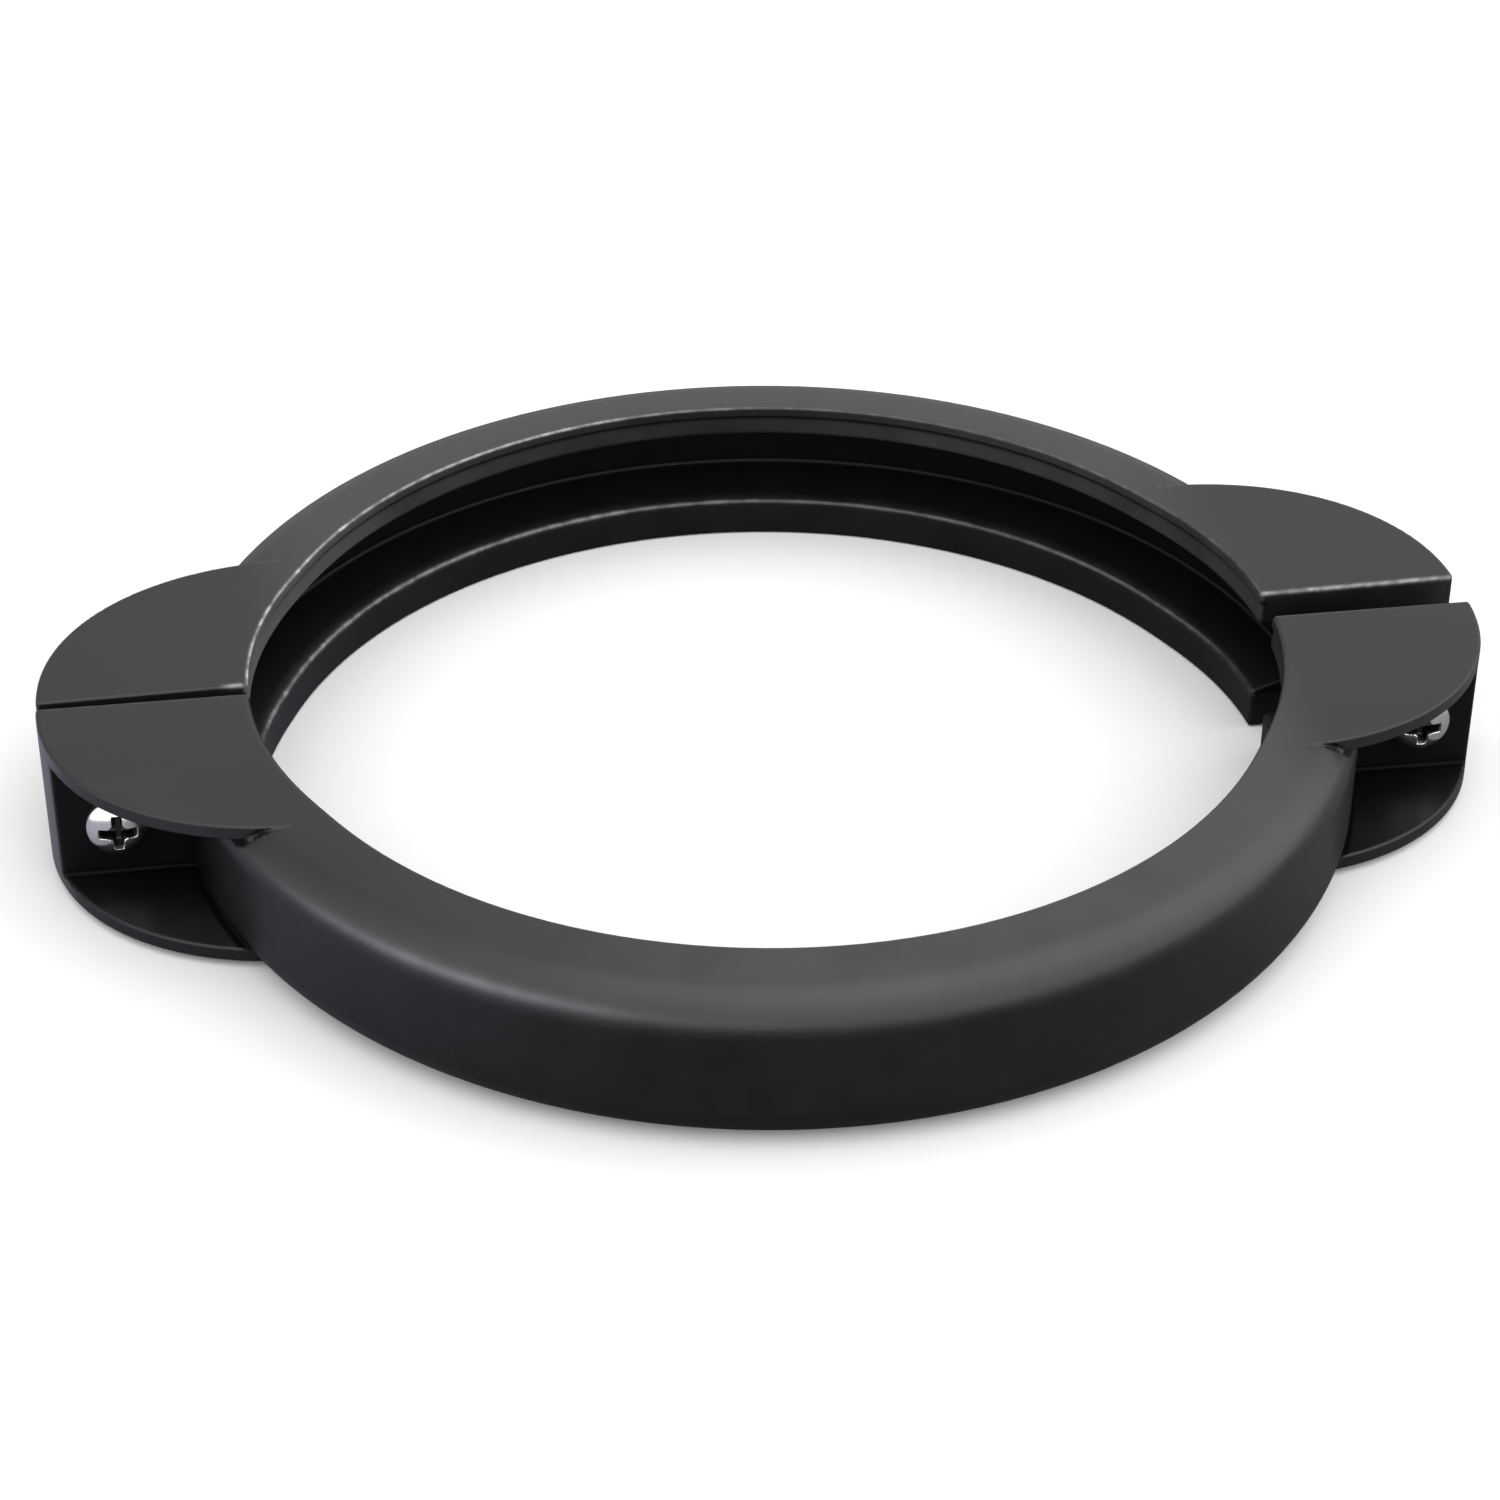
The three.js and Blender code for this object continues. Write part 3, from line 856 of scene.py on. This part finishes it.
def pale_floor():
    """A near-white sheet. Bounced light sees a darker one, which keeps the clamp's lower parts dark."""
    m = Nodes(bpy.data.materials.new("pale_floor"))
    mottle = m.noise(0.25, detail=1)
    seen = m.mix(mottle, FLOOR_SEEN, tuple(0.985 * c for c in FLOOR_SEEN))
    across = m.along("X")
    on_left = m.remap(across, -0.02, -0.17, 0, 1, "SMOOTHSTEP")
    on_right = m.remap(across, 0.04, 0.17, 0, 1, "SMOOTHSTEP")
    bounce = m.mix(on_left, FLOOR_BOUNCE, FLOOR_BOUNCE_LEFT)
    bounce = m.mix(on_right, bounce, FLOOR_BOUNCE_RIGHT)
    ray = m.add("ShaderNodeLightPath").outputs["Is Camera Ray"]
    m.set(Base_Color=m.mix(ray, bounce, seen), Roughness=0.9, Specular_IOR_Level=0.0)
    return m.owner


# ---------------------------------------------------------------- stage: floor, light and camera

FLOOR_SEEN = (0.80, 0.80, 0.80)
FLOOR_BOUNCE = (0.10, 0.10, 0.104)
FLOOR_BOUNCE_LEFT = (0.28, 0.29, 0.34)
FLOOR_BOUNCE_RIGHT = (0.21, 0.21, 0.21)
FLOOR_REACH = 6.0  # metres
FLOOR_DROP = 0.0002  # the floor lies this far below the clamp

LIGHT_FRONT, LIGHT_BEHIND = 2.05, 0.77
LIGHT_LEFT_LOSS = -0.5

CAMERA_ELEVATION, CAMERA_YAW, CAMERA_ROLL = 33.389, 8.351, 0.099  # degrees
CAMERA_DISTANCE = 0.74083
CAMERA_SHIFT = (-0.00333, 0.00616)  # metres to the right and up, in the picture
CAMERA_SENSOR, CAMERA_LENS = 36, 87.44


def add_floor():
    r = FLOOR_REACH
    mesh = bpy.data.meshes.new("floor")
    mesh.from_pydata([(-r, -r, 0), (r, -r, 0), (r, r, 0), (-r, r, 0)], [], [(0, 1, 2, 3)])
    floor = bpy.data.objects.new("floor", mesh)
    floor.location.z = -FLOOR_DROP
    floor.data.materials.append(pale_floor())
    bpy.context.scene.collection.objects.link(floor)


def add_light():
    """A white dome: bright overhead and in front, and dimmer behind and high on the left."""
    w = Nodes(bpy.data.worlds.new("studio"), "Background", "Generated")
    depth = w.remap(w.along("Y"), -0.1, 0.9, LIGHT_FRONT, LIGHT_BEHIND, "SMOOTHSTEP")
    left = w.remap(w.along("X"), -0.8, 0.1, LIGHT_LEFT_LOSS, 0, "SMOOTHSTEP")
    w.set(Color=(1, 1, 1), Strength=w.maths("ADD", depth, left))
    bpy.context.scene.world = w.owner


def add_camera():
    """The camera is CAMERA_DISTANCE from the ring's centre, with a small shift in the picture."""
    elevation, yaw = math.radians(CAMERA_ELEVATION), math.radians(CAMERA_YAW)
    roll = math.radians(CAMERA_ROLL)
    forward = Vector((math.sin(yaw) * math.cos(elevation), math.cos(yaw) * math.cos(elevation),
                      -math.sin(elevation)))
    level = Vector((math.cos(yaw), -math.sin(yaw), 0))
    rise = level.cross(forward)
    right = math.cos(roll) * level + math.sin(roll) * rise
    up = -math.sin(roll) * level + math.cos(roll) * rise
    data = bpy.data.cameras.new("camera")
    data.sensor_width = CAMERA_SENSOR
    data.lens = CAMERA_LENS
    camera = bpy.data.objects.new("camera", data)
    bpy.context.scene.collection.objects.link(camera)
    turn = Matrix((right, up, -forward)).transposed().to_4x4()
    spot = -CAMERA_DISTANCE * forward + CAMERA_SHIFT[0] * right + CAMERA_SHIFT[1] * up
    camera.matrix_world = Matrix.Translation(spot) @ turn
    bpy.context.scene.camera = camera


# ---------------------------------------------------------------- the pieces on their bodies


def finish_piece(piece, body, node, material):
    """Puts a piece on its body in place of a CAD node."""
    piece.data.materials.clear()
    piece.data.materials.append(material)
    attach(piece, body)
    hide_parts(node)


def copy_at(source, name, origin):
    """A copy of a piece that was modelled standing on +Z, laid along +Y at its place."""
    made = bpy.data.objects.new(name, source.data.copy())
    bpy.context.scene.collection.objects.link(made)
    made.data.transform(Matrix.Rotation(-math.pi / 2, 4, "X"))
    made.data.transform(Matrix.Translation(Vector(origin) * MM))
    return made


def add_fasteners(steel, soft):
    screw = screw_piece("screw_pattern")
    nut = nut_piece("nut_pattern")
    cap = cap_piece("cap_pattern")
    for side, nut_body in (("left", "left_nut"), ("right", "rear_half")):
        for source, node, body, material, slot, lead in (
            (screw, f"{side}_screw", f"{side}_screw", steel, "bright_steel", HEAD_HEIGHT),
            (nut, f"{side}_nut", nut_body, steel, "bright_steel", 0),
            (cap, f"{side}_cap", f"{side}_cap", soft, "vinyl", 0),
        ):
            low, high = box_mm(node)
            origin = ((low[0] + high[0]) / 2, low[1] + lead, (low[2] + high[2]) / 2)
            piece = copy_at(source, f"{node}_fine", origin)
            finish_piece(piece, body, node, material)
    for source in (screw, nut, cap):
        bpy.data.objects.remove(source)


def add_halves(plastic):
    front = moulded_half("front_half_moulding", False, 0)
    rear = moulded_half("rear_half_moulding", True, math.pi + REST_TILT)
    finish_piece(front, "front_half", "front_half", plastic)
    finish_piece(rear, "rear_half", "rear_half", plastic)


add_halves(moulded_plastic())
add_fasteners(bright_steel(), vinyl())
add_floor()
add_light()
add_camera()
bpy.context.scene.view_settings.view_transform = "Standard"
